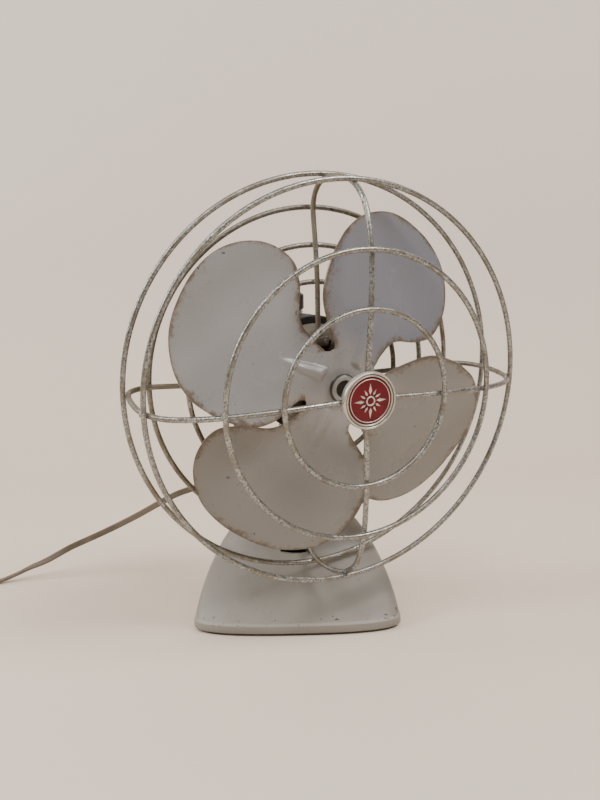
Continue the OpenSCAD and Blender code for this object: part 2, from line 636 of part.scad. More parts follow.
coil_at = [-348, 61, 0];
coil_in = 24;
coil_out = 37;
coil_h = 14;
cord_line = [
  [-24.7, 24.7, 80.4], [-30.1, 30.1, 86.8], [-35.5, 35.5, 93.2], [-41.5, 41.5, 100.3], [-50, 49, 105.3],
  [-60, 55, 105.8], [-78, 62.5, 100.5], [-99, 70, 92.6], [-117, 75, 85.5], [-135, 80, 75.5], [-158, 84, 62.5],
  [-183, 86, 50], [-204, 86.5, 40.5], [-226, 86, 31], [-249, 84, 19], [-265, 81, 13],
  [-278, 78, 7.4], [-292, 73, 2.8], [-303, 66, 1.9], [-311.5, 57, 1.9], [-317.3, 46.7, 1.9]
];
cord_turn = [for (i = [0 : len(curve(cord_line, 2)) - 1]) 90 * (1 - smooth(25, 32, i))];
module power_cord() color(rubber_brown)
  sweep(curve(cord_line, 2), cord_w / 2, cord_t / 2, [0, 0, 1], 10, cord_turn);

module cord_coil() color(rubber_brown) translate(coil_at) rotate_extrude($fn = 96)
  polygon([[coil_in, 3], [coil_in + 3, 0.1], [coil_out - 3, 0.1], [coil_out, 3],
           [coil_out, coil_h - 3], [coil_out - 3, coil_h], [coil_in + 3, coil_h], [coil_in, coil_h - 3]]);

module cord_tie() color(dark) translate(coil_at) rotate([0, 0, 60]) difference() {
  translate([coil_in - 1.2, -4, 0.05]) cube([coil_out - coil_in + 2.4, 8, coil_h + 1]);
  translate([coil_in, -5, 0.1]) cube([coil_out - coil_in, 10, coil_h]);
}

plug_at = [-383.6, 84, 9];
tail_line = [[-381.6, 58, 12.2], [-382.2, 65, 12], [-382.8, 71, 11], [-383.1, 77, 9.6], [-383.4, 84, 9]];
module cord_tail() color(rubber_brown)
  sweep(curve(tail_line, 2), cord_w / 2, cord_t / 2, [0, 0, 1], 10);

module plug_body() color(dark) translate(plug_at) rotate([-90, 0, 2]) rotate([0, 0, 90]) {
  cylinder(h = 8, r1 = 4.5, r2 = 8, $fn = 48);
  translate([0, 0, 8]) cylinder(h = 14, r = 8.9, $fn = 64);
}

module plug_prongs() color(brass) translate(plug_at) rotate([-90, 0, 2]) rotate([0, 0, 90])
  for (s = [-1, 1]) difference() {
    translate([-3.2, s * 6.35 - 0.75, 20]) cube([6.4, 1.5, 19]);
    translate([0, s * 6.35 - 2, 35]) rotate([-90, 0, 0]) cylinder(h = 4, r = 1.5, $fn = 24);
  }

// ---- parts -------------------------------------------------------------------------
base_skirt();
base_flare();
base_shoulder();
base_crown();
base_plate();
base_pad();
base_tabs();
base_screws();
neck();
neck_nut();
speed_switch();
switch_bracket();
speed_lever();
speed_reactor();
reactor_coil();
trunnion();
swivel_washer();
tilt_bolt();
thumb_nut();
motor_band();
motor_front_shell();
motor_rear_shell();
stator_core();
stator_windings();
bearings();
band_screws();
gear_case();
gear_cover();
gear_screws();
oscillator_knob();
shaft();
rotor_core();
worm();
blade_hub();
hub_screw();
blades();
worm_wheel();
crank();
crank_link();
spoke_right();
spoke_top();
spoke_left();
spoke_bottom();
rim_front();
rim_rear();
front_rings();
rear_rings();
guard_clips();
guard_screws();
badge_back();
badge_bezel();
badge_face();
cord_gland();
power_cord();
cord_coil();
cord_tie();
cord_tail();
plug_body();
plug_prongs();
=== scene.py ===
import math

import bpy
from mathutils import Matrix, Vector


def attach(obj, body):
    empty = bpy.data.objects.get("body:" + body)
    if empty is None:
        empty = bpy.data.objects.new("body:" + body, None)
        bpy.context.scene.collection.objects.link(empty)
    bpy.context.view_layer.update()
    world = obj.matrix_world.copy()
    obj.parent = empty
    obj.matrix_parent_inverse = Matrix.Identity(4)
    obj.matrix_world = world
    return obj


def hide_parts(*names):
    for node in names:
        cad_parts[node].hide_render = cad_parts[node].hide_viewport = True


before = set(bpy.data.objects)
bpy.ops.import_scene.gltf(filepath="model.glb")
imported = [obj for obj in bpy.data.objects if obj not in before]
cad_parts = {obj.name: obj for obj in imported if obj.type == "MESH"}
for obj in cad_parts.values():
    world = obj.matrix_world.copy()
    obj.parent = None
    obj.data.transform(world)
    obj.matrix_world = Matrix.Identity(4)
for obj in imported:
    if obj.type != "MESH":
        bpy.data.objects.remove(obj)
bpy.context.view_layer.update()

# ---- shared sizes, in millimetres, as in the part's own source -----------------
MM = 0.001
HINGE_Z = 138
HEAD_RISE = 80
TILT = 7
YAW = 24
GUARD_SPIN = -2.5
BLADE_PHASE = 55.6
BLADE_COUNT = 4
WIRE_R = 2.1
CORD_W = 6
CORD_T = 3.4


def turn(axis, degrees):
    return Matrix.Rotation(math.radians(degrees), 4, axis)


TRUNNION = Matrix.Translation((0, 0, HINGE_Z)) @ turn("X", TILT)
HEAD = TRUNNION @ Matrix.Translation((0, 0, HEAD_RISE)) @ turn("Z", YAW) @ turn("X", 90)
ROTOR = HEAD @ turn("Z", BLADE_PHASE)
GUARD = HEAD @ turn("Z", GUARD_SPIN)
ROW = Matrix.Identity(4)


# ---- camera ----------------------------------------------------------------------
CAMERA_AT = (6.01, -734.8, 283.9)
CAMERA_PITCH = 7.6
CAMERA_ROLL = 1.2
LENS = 51


def make_camera():
    pitch = math.radians(CAMERA_PITCH)
    roll = math.radians(CAMERA_ROLL)
    forward = Vector((0, math.cos(pitch), -math.sin(pitch)))
    level_up = Vector((0, math.sin(pitch), math.cos(pitch)))
    right = math.cos(roll) * Vector((1, 0, 0)) - math.sin(roll) * level_up
    up = math.sin(roll) * Vector((1, 0, 0)) + math.cos(roll) * level_up
    data = bpy.data.cameras.new("camera")
    data.sensor_fit = "HORIZONTAL"
    data.sensor_width = 36
    data.lens = LENS
    camera = bpy.data.objects.new("camera", data)
    camera.matrix_world = Matrix.Translation(Vector(CAMERA_AT) * MM) @ Matrix(
        (right, up, -forward)
    ).transposed().to_4x4()
    bpy.context.collection.objects.link(camera)
    bpy.context.scene.camera = camera


make_camera()


# ---- material nodes ----------------------------------------------------------------
class Shader:
    """A Principled material that is built up in layers over object coordinates."""

    def __init__(self, name, metallic=0.0, **sockets):
        self.material = bpy.data.materials.new(name)
        self.material.use_nodes = True
        self.tree = self.material.node_tree
        self.bsdf = self.tree.nodes["Principled BSDF"]
        self.bsdf.inputs["Metallic"].default_value = metallic
        for socket, value in sockets.items():
            self.bsdf.inputs[socket.replace("_", " ")].default_value = value
        self.place = self.node("ShaderNodeTexCoord").outputs["Object"]

    def node(self, kind, **inputs):
        made = self.tree.nodes.new(kind)
        for socket, value in inputs.items():
            self.feed(made.inputs[socket.replace("_", " ")], value)
        return made

    def feed(self, socket, value):
        if isinstance(value, bpy.types.NodeSocket):
            self.tree.links.new(value, socket)
        else:
            socket.default_value = value

    def noise(self, scale, detail=3.0, roughness=0.5, distortion=0.0):
        made = self.node("ShaderNodeTexNoise", Vector=self.place, Scale=scale, Detail=detail,
                         Roughness=roughness, Distortion=distortion)
        return made.outputs["Fac"]

    def step(self, value, low, high, out_low=0.0, out_high=1.0):
        made = self.node("ShaderNodeMapRange", Value=value)
        made.interpolation_type = "SMOOTHSTEP"
        made.inputs["From Min"].default_value = low
        made.inputs["From Max"].default_value = high
        made.inputs["To Min"].default_value = out_low
        made.inputs["To Max"].default_value = out_high
        return made.outputs["Result"]

    def math(self, operation, first, second=0.0):
        made = self.node("ShaderNodeMath")
        made.operation = operation
        self.feed(made.inputs[0], first)
        self.feed(made.inputs[1], second)
        return made.outputs["Value"]

    def mix(self, factor, first, second):
        made = self.tree.nodes.new("ShaderNodeMix")
        made.data_type = "RGBA"
        self.feed(made.inputs["Factor"], factor)
        for socket, value in (("A", first), ("B", second)):
            target = [i for i in made.inputs if i.name == socket and i.type == "RGBA"][0]
            self.feed(target, (*value, 1) if isinstance(value, tuple) else value)
        return [o for o in made.outputs if o.type == "RGBA"][0]

    def attribute(self, name):
        made = self.node("ShaderNodeAttribute")
        made.attribute_name = name
        return made.outputs["Fac"]

    def paint(self, colour):
        self.feed(self.bsdf.inputs["Base Color"], (*colour, 1) if isinstance(colour, tuple) else colour)

    def rough(self, value):
        self.feed(self.bsdf.inputs["Roughness"], value)

    def bump(self, height, strength, distance_mm):
        made = self.node("ShaderNodeBump", Height=height)
        made.inputs["Strength"].default_value = strength
        made.inputs["Distance"].default_value = distance_mm * MM
        before = self.bsdf.inputs["Normal"]
        if before.is_linked:
            self.tree.links.new(before.links[0].from_socket, made.inputs["Normal"])
        self.tree.links.new(made.outputs["Normal"], before)


def aged(name, light, deep, grime, metallic=0.0, roughness=(0.35, 0.6), mottle=14, grain=420,
         speck=0.5, dirt=0.5, bump=0.25, **sockets):
    """Mottled colour, soft grime patches, fine dark specks and an uneven gloss."""
    s = Shader(name, metallic, **sockets)
    colour = s.mix(s.step(s.noise(mottle, 4), 0.35, 0.68), light, deep)
    patches = s.step(s.noise(mottle * 3.1, 8, 0.7), 0.56, 0.76, 0, dirt)
    colour = s.mix(patches, colour, grime)
    fine = s.noise(grain, 2)
    colour = s.mix(s.step(fine, 0.66, 0.74, 0, speck), colour, grime)
    s.paint(colour)
    s.rough(s.step(s.noise(mottle * 2.3, 5), 0.3, 0.7, *roughness))
    s.bump(fine, bump, 0.08)
    return s, colour


# ---- mesh helpers -----------------------------------------------------------------------
def add_mesh(name, points, faces, place, body, material, smooth=True, node=(), marks=None):
    """A piece from points in millimetres in the frame `place`. marks: {attribute: values}."""
    mesh = bpy.data.meshes.new(name)
    scaled = Matrix.Scale(MM, 4) @ place
    mesh.from_pydata([scaled @ Vector(p) for p in points], [], faces)
    mesh.validate()
    for polygon in mesh.polygons:
        polygon.use_smooth = smooth
    for key, values in (marks or {}).items():
        mesh.attributes.new(key, "FLOAT", "POINT").data.foreach_set("value", values)
    mesh.materials.append(material)
    piece = bpy.data.objects.new(name, mesh)
    bpy.context.collection.objects.link(piece)
    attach(piece, body)
    if node:
        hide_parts(*node)
    return piece


def join(parts):
    """Joins (points, faces) lists into one."""
    points, faces = [], []
    for some_points, some_faces in parts:
        base = len(points)
        points += some_points
        faces += [[base + i for i in face] for face in some_faces]
    return points, faces


def tube(line, section, closed=False, twists=None, reference=Vector((0, 0, 1))):
    """Sweeps section(i) -> [(side, over), ...] along the line of points."""
    points, faces = [], []
    count = len(line)
    for i, centre in enumerate(line):
        before = line[(i - 1) % count] if closed or i else line[0]
        after = line[(i + 1) % count] if closed or i < count - 1 else line[-1]
        along = (after - before).normalized()
        side = along.cross(reference).normalized()
        over = side.cross(along)
        angle = twists[i] if twists else 0.0
        for x, y in section(i):
            u = x * math.cos(angle) - y * math.sin(angle)
            v = x * math.sin(angle) + y * math.cos(angle)
            points.append(centre + side * u + over * v)
    n = len(section(0))
    for i in range(count if closed else count - 1):
        j = (i + 1) % count
        for k in range(n):
            m = (k + 1) % n
            faces.append([i * n + k, i * n + m, j * n + m, j * n + k])
    if not closed:
        faces.append(list(reversed(range(n))))
        faces.append([(count - 1) * n + k for k in range(n)])
    return points, faces


def circle(radius, n=14, squash=1.0):
    return [(radius * math.cos(math.tau * k / n), squash * radius * math.sin(math.tau * k / n))
            for k in range(n)]


def lathe(profile, n=96, close=False):
    """Turns [(radius, z), ...] about Z. A radius of 0 closes the end."""
    points, rings = [], []
    for r, z in profile:
        if r < 1e-6:
            rings.append([len(points)])
            points.append((0, 0, z))
        else:
            rings.append(list(range(len(points), len(points) + n)))
            points += [(r * math.cos(math.tau * k / n), r * math.sin(math.tau * k / n), z)
                       for k in range(n)]
    if close:
        rings.append(rings[0])
    faces = []
    for low, high in zip(rings, rings[1:]):
        for k in range(n):
            m = (k + 1) % n
            if len(low) == 1:
                faces.append([low[0], high[k], high[m]])
            elif len(high) == 1:
                faces.append([low[m], low[k], high[0]])
            else:
                faces.append([low[k], high[k], high[m], low[m]])
    return points, faces


def spline(rows, steps):
    """Catmull-Rom through rows of numbers, the same rule as curve() in the part's source."""
    out = []
    for i in range(len(rows) - 1):
        a, b = rows[max(i - 1, 0)], rows[i]
        c, d = rows[i + 1], rows[min(i + 2, len(rows) - 1)]
        for j in range(steps):
            t = j / steps
            out.append([0.5 * (2 * q + (r - p) * t + (2 * p - 5 * q + 4 * r - s) * t * t
                               + (3 * q - p - 3 * r + s) * t ** 3)
                        for p, q, r, s in zip(a, b, c, d)])
    out.append(list(rows[-1]))
    return out


def smooth_step(low, high, x):
    t = min(1.0, max(0.0, (x - low) / (high - low)))
    return t * t * (3 - 2 * t)


# ---- cord, first because its room is checked against the camera ----------------------------
CORD_LINE = [
    (-24.7, 24.7, 80.4), (-30.1, 30.1, 86.8), (-35.5, 35.5, 93.2), (-41.5, 41.5, 100.3),
    (-50, 49, 105.3), (-60, 55, 105.8), (-78, 62.5, 100.5), (-99, 70, 92.6), (-117, 75, 85.5),
    (-135, 80, 75.5), (-158, 84, 62.5), (-183, 86, 50), (-204, 86.5, 40.5), (-226, 86, 31),
    (-249, 84, 19), (-265, 81, 13), (-278, 78, 7.4), (-292, 73, 2.8), (-303, 66, 1.9),
    (-311.5, 57, 1.9), (-317.3, 46.7, 1.9)]
TAIL_LINE = [(-382.2, 66, 12.2), (-382.8, 72, 11), (-383.1, 78, 9.6), (-383.4, 84, 9)]
COIL_AT = (-348, 61)
COIL_ROWS = [(33.9, 1.9), (27.2, 1.9), (27.2, 5.4), (33.9, 5.4),
             (33.9, 8.9), (27.2, 8.9), (27.2, 12.4), (33.9, 12.4)]
COIL_START = -25
COIL_END = 7 * 360 + 155
TURN_SHIFT = 346
TURN_EASE = 18
COIL_STEP = 12
LEAD_STEPS = 5
TWIST_FROM = 62.5
TWIST_ROWS = 17


def coil_points():
    """Turns two side by side and four high, each change of place a little before the last."""
    points = []
    for swept in range(COIL_STEP, COIL_END + 1, COIL_STEP):
        radius, height = COIL_ROWS[0]
        for k in range(1, len(COIL_ROWS)):
            move = smooth_step(TURN_SHIFT * k - TURN_EASE, TURN_SHIFT * k + TURN_EASE, swept)
            radius += (COIL_ROWS[k][0] - COIL_ROWS[k - 1][0]) * move
            height += (COIL_ROWS[k][1] - COIL_ROWS[k - 1][1]) * move
        angle = math.radians(COIL_START - swept)
        points.append((COIL_AT[0] + radius * math.cos(angle), COIL_AT[1] + radius * math.sin(angle),
                       height))
    return points


def cord_section(i):
    """Two round strands with a shallow groove between them."""
    strand = CORD_T / 2
    offset = CORD_W / 2 - strand
    section = []
    for k in range(20):
        angle = math.tau * k / 20
        x = math.cos(angle)
        y = math.sin(angle)
        waist = 0.72 + 0.28 * min(1.0, abs(x) / 0.45)
        section.append((offset * max(-1.0, min(1.0, x / 0.45)) + strand * x, strand * y * waist))
    return section


def make_cord():
    lead = [Vector(p) for p in spline(CORD_LINE, LEAD_STEPS)]
    twists = [math.pi / 2 * (1 - smooth_step(TWIST_FROM, TWIST_FROM + TWIST_ROWS, i))
              for i in range(len(lead))]
    rest = [Vector(p) for p in coil_points() + spline(TAIL_LINE, 3)]
    line = lead + rest
    points, faces = tube(line, cord_section, twists=twists + [0.0] * len(rest))
    cord = add_mesh("flat_cord", points, faces, ROW, "base", cord_material(),
                    node=("power_cord", "cord_coil", "cord_tail"))
    return cord


def cord_material():
    s, colour = aged("cord_jacket", (0.165, 0.130, 0.092), (0.105, 0.08, 0.055), (0.05, 0.038, 0.028),
                     roughness=(0.5, 0.75), mottle=40, grain=900, speck=0.4, dirt=0.5, bump=0.3)
    return s.material


make_cord()


# ---- stage and light --------------------------------------------------------------------------
def make_stage():
    """A pale floor that curves up into a plain wall. From behind, the wall is clear."""
    s = Shader("stage_white")
    height = s.node("ShaderNodeSeparateXYZ", Vector=s.place).outputs["Z"]
    ground = s.mix(s.step(height, 0.0, 0.5), (0.83, 0.71, 0.585), (0.82, 0.72, 0.665))
    s.paint(s.mix(s.step(s.noise(1.3, 3), 0.3, 0.7, 0, 0.4), ground, (0.77, 0.67, 0.58)))
    s.rough(0.8)
    side = s.node("ShaderNodeNewGeometry").outputs["Backfacing"]
    clear = s.node("ShaderNodeBsdfTransparent").outputs["BSDF"]
    mixed = s.node("ShaderNodeMixShader", Fac=side)
    s.feed(mixed.inputs[1], s.bsdf.outputs["BSDF"])
    s.feed(mixed.inputs[2], clear)
    s.feed(s.tree.nodes["Material Output"].inputs["Surface"], mixed.outputs["Shader"])
    profile = [(-2600, 0)] + [(x, 0) for x in (-800, 0, 300, 520)]
    profile += [(520 + 330 * math.sin(a), 330 - 330 * math.cos(a))
                for a in [math.pi / 2 * k / 14 for k in range(1, 15)]]
    profile += [(850, 900), (850, 2600)]
    points, faces = [], []
    for y, z in profile:
        points += [(-2600, y, z), (2600, y, z)]
    for i in range(len(profile) - 1):
        faces.append([2 * i, 2 * i + 1, 2 * i + 3, 2 * i + 2])
    mesh = bpy.data.meshes.new("stage")
    mesh.from_pydata([Vector(p) * MM for p in points], [], faces)
    for polygon in mesh.polygons:
        polygon.use_smooth = True
    mesh.materials.append(s.material)
    stage = bpy.data.objects.new("stage", mesh)
    bpy.context.collection.objects.link(stage)


def area_light(name, place, target, size, power, colour):
    data = bpy.data.lights.new(name, "AREA")
    data.shape = "DISK"
    data.size = size
    data.energy = power
    data.color = colour
    light = bpy.data.objects.new(name, data)
    direction = Vector(target) - Vector(place)
    light.matrix_world = Matrix.Translation(place) @ direction.to_track_quat("-Z", "Y").to_matrix().to_4x4()
    bpy.context.collection.objects.link(light)


def make_lights():
    world = bpy.data.worlds.new("studio")
    world.use_nodes = True
    background = world.node_tree.nodes["Background"]
    background.inputs["Color"].default_value = (1.0, 0.985, 0.965, 1)
    background.inputs["Strength"].default_value = 0.2
    bpy.context.scene.world = world
    area_light("front", (0, -1.4, 1.8), (0, 0, 0.2), 0.9, 13, (1.0, 0.98, 0.95))
    area_light("left", (-1.9, -0.3, 1.2), (0, 0, 0.2), 0.9, 22, (1.0, 0.99, 0.97))
    area_light("left_top", (-1.2, -0.9, 1.9), (0, 0, 0.2), 0.9, 17, (1.0, 0.98, 0.96))
    area_light("right_top", (1.2, -0.9, 1.9), (0, 0, 0.2), 0.9, 38, (1.0, 0.98, 0.95))


make_stage()
make_lights()


# ---- guard wires ------------------------------------------------------------------------------
SPOKE_PATH = [
    (27, 50.5), (50, 48), (75.2, 45.6), (103.7, 40.6), (124, 36), (134, 34.8), (143, 37.5), (150, 44),
    (154.2, 54), (156, 70), (154.5, 86), (149.6, 98), (140.5, 109.5), (128, 118), (110, 124.8),
    (90, 128.6), (65, 130.8), (40, 131.4), (16, 131.5)]
RINGS = {"rim_front": [(153.9, 97)], "rim_rear": [(157.9, 53)],
         "front_rings": [(106.2, 129.8), (65, 134.7)],
         "rear_rings": [(132.7, 30.8), (103.7, 36.5), (75.2, 41.5)]}
SPOKES = {"spoke_right": (0, 0, -0.6), "spoke_top": (90, 0, -1.6), "spoke_left": (180, 0.9, 3.3),
          "spoke_bottom": (270, 0, 3.2)}


def spoke_angle(name, height):
    """A spoke's direction in degrees: the front half sits a few degrees round from the rear."""
    start, rear, front = SPOKES[name]
    return start + rear + (front - rear) * smooth_step(50, 112, height)


def wire_material():
    s = Shader("plated_wire", metallic=0.75)
    flecks = s.noise(700, 3, 0.65)
    colour = s.mix(s.step(flecks, 0.38, 0.62), (0.155, 0.150, 0.135), (0.44, 0.435, 0.41))
    streaks = s.step(s.noise(90, 4, 0.6), 0.45, 0.62, 0, 0.7)
    colour = s.mix(streaks, colour, (0.20, 0.185, 0.155))
    age = s.attribute("age")
    dust_and_shade = s.step(s.math("ADD", s.noise(45, 6, 0.75), s.math("MULTIPLY", age, 0.26)), 0.50, 0.86, 0, 0.9)
    colour = s.mix(dust_and_shade, colour, (0.20, 0.165, 0.115))
    chips = s.step(s.noise(330, 2), 0.70, 0.73, 0, 0.9)
    colour = s.mix(chips, colour, (0.045, 0.035, 0.028))
    s.paint(colour)
    s.rough(s.math("ADD", s.step(s.noise(240, 3), 0.3, 0.7, 0.24, 0.42), s.math("MULTIPLY", dust_and_shade, 0.25)))
    s.bump(flecks, 0.5, 0.12)
    return s.material


def lump(centre, radii, n=10):
    """A rounded weld bead."""
    points, faces = lathe([(math.sin(math.pi * k / 6) if 0 < k < 6 else 0, math.cos(math.pi * k / 6))
                           for k in range(7)], n)
    return [Vector((centre[0] + p[0] * radii[0], centre[1] + p[1] * radii[1], centre[2] + p[2] * radii[2]))
            for p in points], faces


def spoke_height(radius, rear):
    """Height of a spoke where it passes under a ring of this radius."""
    half = SPOKE_PATH[:9] if rear else SPOKE_PATH[9:]
    for (r0, z0), (r1, z1) in zip(half, half[1:]):
        if min(r0, r1) <= radius <= max(r0, r1):
            return z0 + (z1 - z0) * (radius - r0) / (r1 - r0)
    return None


def make_wires():
    material = wire_material()
    section = circle(WIRE_R, 14)
    for name in SPOKES:
        line = []
        for r, z in spline(SPOKE_PATH, 6):
            a = math.radians(spoke_angle(name, z))
            line.append(Vector((r * math.cos(a), r * math.sin(a), z)))
        start = math.radians(SPOKES[name][0])
        across = Vector((-math.sin(start), math.cos(start), 0))
        points, faces = tube(line, lambda i: section, reference=across)
        age = [1 - smooth_step(45, 125, p.z) for p in points]
        add_mesh(name + "_wire", points, faces, GUARD, "head", material, node=(name,),
                 marks={"age": age})
    for name, rings in RINGS.items():
        parts = []
        for radius, height in rings:
            line = [Vector((radius * math.cos(a), radius * math.sin(a), height))
                    for a in [math.tau * k / 180 for k in range(180)]]
            parts.append(tube(line, lambda i: section, closed=True))
            touch = spoke_height(radius, height < 60)
            for spoke in SPOKES:
                a = math.radians(spoke_angle(spoke, height))
                middle = height if touch is None else 0.5 * (height + touch)
                reach = radius - 1.6 if touch is None else radius
                bead = (2.3, 2.3, 1.9) if touch is not None else (1.8, 2.6, 1.8)
                parts.append(lump((reach * math.cos(a), reach * math.sin(a), middle), bead))
        points, faces = join(parts)
        rear = 1 - smooth_step(30, 62, rings[0][1])
        age = [0.75 * rear + 0.5 * max(0.0, -p[1] / 160) for p in points]
        add_mesh(name + "_wire", points, faces, GUARD, "head", material, node=(name,),
                 marks={"age": age})


make_wires()


# ---- blades --------------------------------------------------------------------------------------
SEAT_R = 10.3
NOTCH_R = 30
SECTOR_MID = 6
SHEET_T = 1.2
BLADE_EDGES = [
    (31.5, -33, 45), (35, -31, 43), (40, -28, 45), (46, -27, 47), (53, -26.5, 49), (60, -28, 50),
    (66, -31, 50), (72, -34.5, 49.5), (79, -37.5, 48), (86, -39, 45.5), (94, -40, 42.5),
    (102, -39, 39.5), (110, -36.5, 36), (117, -33.5, 33), (123, -30, 29.5), (128, -26, 26),
    (132, -22, 22), (135, -18, 18), (137, -14, 14.5), (138.3, -9.5, 11), (139, -5, 6.5)]
HUB_ROWS = [SEAT_R, 11.2, 12.5, 14, 16, 17.5, 18.5, 19.5, 20.5, 21.5, 23, 25, 27.5, NOTCH_R]
ACROSS = 72
# one painted light tint a blade, anticlockwise from the upper right at rest: painted warm shade on the two
# lower blades and a painted cool reflection on the upper right one; they turn with the rotor
BLADE_SHADE = (0, 0, 0.75, 0.5)
BLADE_COOL_REFLECTION = (0.95, 0.15, 0, 0)


def blade_height(r, degrees):
    across = r * math.sin(math.radians(degrees))
    free = smooth_step(NOTCH_R, 62, r)
    edge_fade = 1 - (1 - free) * ((degrees - SECTOR_MID) / 45) ** 2
    half_width = max(1.2, 5.4 - 0.105 * (r - 20))
    aside = abs(across + 0.8 - 0.206 * (r - 22)) / half_width
    ends = smooth_step(18.2, 21.6, r) * (1 - smooth_step(30, 60, r))
    rib = ends * (2.2 * (1 - smooth_step(0.5, 1.35, aside)) + 0.9 * (1 - smooth_step(0.1, 0.55, aside)))
    fall = 0.2 * max(0, r - 16) * (0.8 * (1 - free) + free * math.cos(math.radians(degrees)))
    return (93.3 - fall + 0.24 * across * edge_fade * smooth_step(14, 34, r)
            + 0.00074 * across * across * free + rib + SHEET_T / 2)


def sheet_points():
    """Points of the pressed sheet, each marked with its nearness to the outline and with its blade's painted
    shade and painted cool reflection.
    """
    points = []
    marks = {"rim": [], "dust_and_shade": [], "cool_reflection": []}

    def put(r, blade, degrees, near):
        a = math.radians(blade * 360 / BLADE_COUNT + degrees)
        points.append((r * math.cos(a), r * math.sin(a), blade_height(r, degrees)))
        marks["rim"].append(math.exp(-near / 6))
        outward = smooth_step(18, 50, r)
        marks["dust_and_shade"].append(BLADE_SHADE[blade] * outward)
        marks["cool_reflection"].append(BLADE_COOL_REFLECTION[blade] * outward)

    for r in HUB_ROWS:
        for blade in range(BLADE_COUNT):
            for j in range(ACROSS):
                degrees = SECTOR_MID + 360 / BLADE_COUNT * (j / ACROSS - 0.5)
                put(r, blade, degrees, 12 + r - SEAT_R)
    rows = spline(BLADE_EDGES, 4)
    for blade in range(BLADE_COUNT):
        for r, lead, trail in rows:
            for j in range(ACROSS + 1):
                degrees = lead + (trail - lead) * j / ACROSS
                near = min(math.radians(degrees - lead) * r, math.radians(trail - degrees) * r,
                           1.3 * (139 - r))
                put(r, blade, degrees, near)
    return points, marks, len(rows)


def make_blades():
    points, marks, wing_rows = sheet_points()
    columns = ACROSS * BLADE_COUNT
    hub_size = len(HUB_ROWS) * columns
    faces = []
    for i in range(len(HUB_ROWS) - 1):
        for j in range(columns):
            k = (j + 1) % columns
            faces.append([i * columns + j, (i + 1) * columns + j, (i + 1) * columns + k, i * columns + k])

    def wing(blade, row, j):
        if row == 0:
            return hub_size - columns + (blade * ACROSS + j) % columns
        return hub_size + (blade * wing_rows + row - 1) * (ACROSS + 1) + j

    for blade in range(BLADE_COUNT):
        for row in range(wing_rows):
            for j in range(ACROSS):
                faces.append([wing(blade, row, j), wing(blade, row + 1, j), wing(blade, row + 1, j + 1),
                              wing(blade, row, j + 1)])
    sheet = add_mesh("blade_sheet", points, faces, ROTOR, "rotor", blade_material(), node=("blades",),
                     marks=marks)
    solid = sheet.modifiers.new("thickness", "SOLIDIFY")
    solid.thickness = SHEET_T * MM
    solid.offset = 0
    edge = sheet.modifiers.new("edge", "BEVEL")
    edge.width = 0.35 * MM
    edge.segments = 2
    edge.limit_method = "ANGLE"
    edge.angle_limit = math.radians(55)
    profile = [(4, 76), (10.5, 76), (10.5, 91), (15.5, 91), (15.5, 93.1), (11.4, 93.2), (11.3, 96.9),
               (10.9, 97.6), (10.3, 97.8), (9.9, 98.2), (8.6, 98.5), (7.3, 98.3), (6.7, 97.7), (6.4, 96.6),
               (6.2, 92.6), (4, 92.4), (0, 92.6)]
    points, faces = lathe(profile, 72)
    # painted shade inside the centre recess, and a dark outline on the ring's outer edge
    dark_mark = []
    for x, y, z in points:
        r = math.hypot(x, y)
        dark_mark.append(1 - smooth_step(6.3, 7.3, r) + smooth_step(9.9, 10.5, r) * smooth_step(95, 96, z))
    add_mesh("hub_ring", points, faces, ROTOR, "rotor", hub_material(), node=("blade_hub",),
             marks={"dark_mark": dark_mark})


def blade_material():
    s, colour = aged("blade_enamel", (0.300, 0.284, 0.276), (0.262, 0.243, 0.226), (0.155, 0.125, 0.09),
                     roughness=(0.24, 0.36), mottle=7, grain=520, speck=0.25, dirt=0.15, bump=0.08)
    rim = s.attribute("rim")
    # painted light: a cool reflection painted on the upper right blade, then warm shade painted on the lower
    # blades
    colour = s.mix(s.attribute("cool_reflection"), colour, (0.200, 0.202, 0.234))
    colour = s.mix(s.attribute("dust_and_shade"), colour, (0.205, 0.193, 0.173))
    haze = s.step(s.math("ADD", s.noise(16, 4, 0.6), s.math("MULTIPLY", rim, 0.5)), 0.62, 1.0, 0, 0.5)
    colour = s.mix(haze, colour, (0.235, 0.195, 0.145))
    dirt = s.step(s.math("ADD", s.noise(110, 8, 0.8), s.math("MULTIPLY", rim, 0.34)), 0.64, 0.82, 0, 0.85)
    colour = s.mix(dirt, colour, (0.115, 0.078, 0.048))
    pits = s.step(s.math("ADD", s.noise(360, 3, 0.6), s.math("MULTIPLY", rim, 0.10)), 0.715, 0.75, 0, 0.9)
    colour = s.mix(pits, colour, (0.05, 0.036, 0.026))
    chips = s.step(s.noise(95, 2, 0.5), 0.765, 0.775, 0, 0.85)
    colour = s.mix(chips, colour, (0.07, 0.06, 0.05))
    s.paint(colour)
    return s.material


def hub_material():
    s, colour = aged("hub_metal", (0.36, 0.35, 0.325), (0.26, 0.25, 0.23), (0.10, 0.08, 0.06), metallic=0.3,
                     roughness=(0.32, 0.5), mottle=60, grain=700, speck=0.5, dirt=0.6)
    # painted shade in the centre recess, plus the dark outline on the outer edge
    s.paint(s.mix(s.attribute("dark_mark"), colour, (0.035, 0.027, 0.02)))
    return s.material


make_blades()


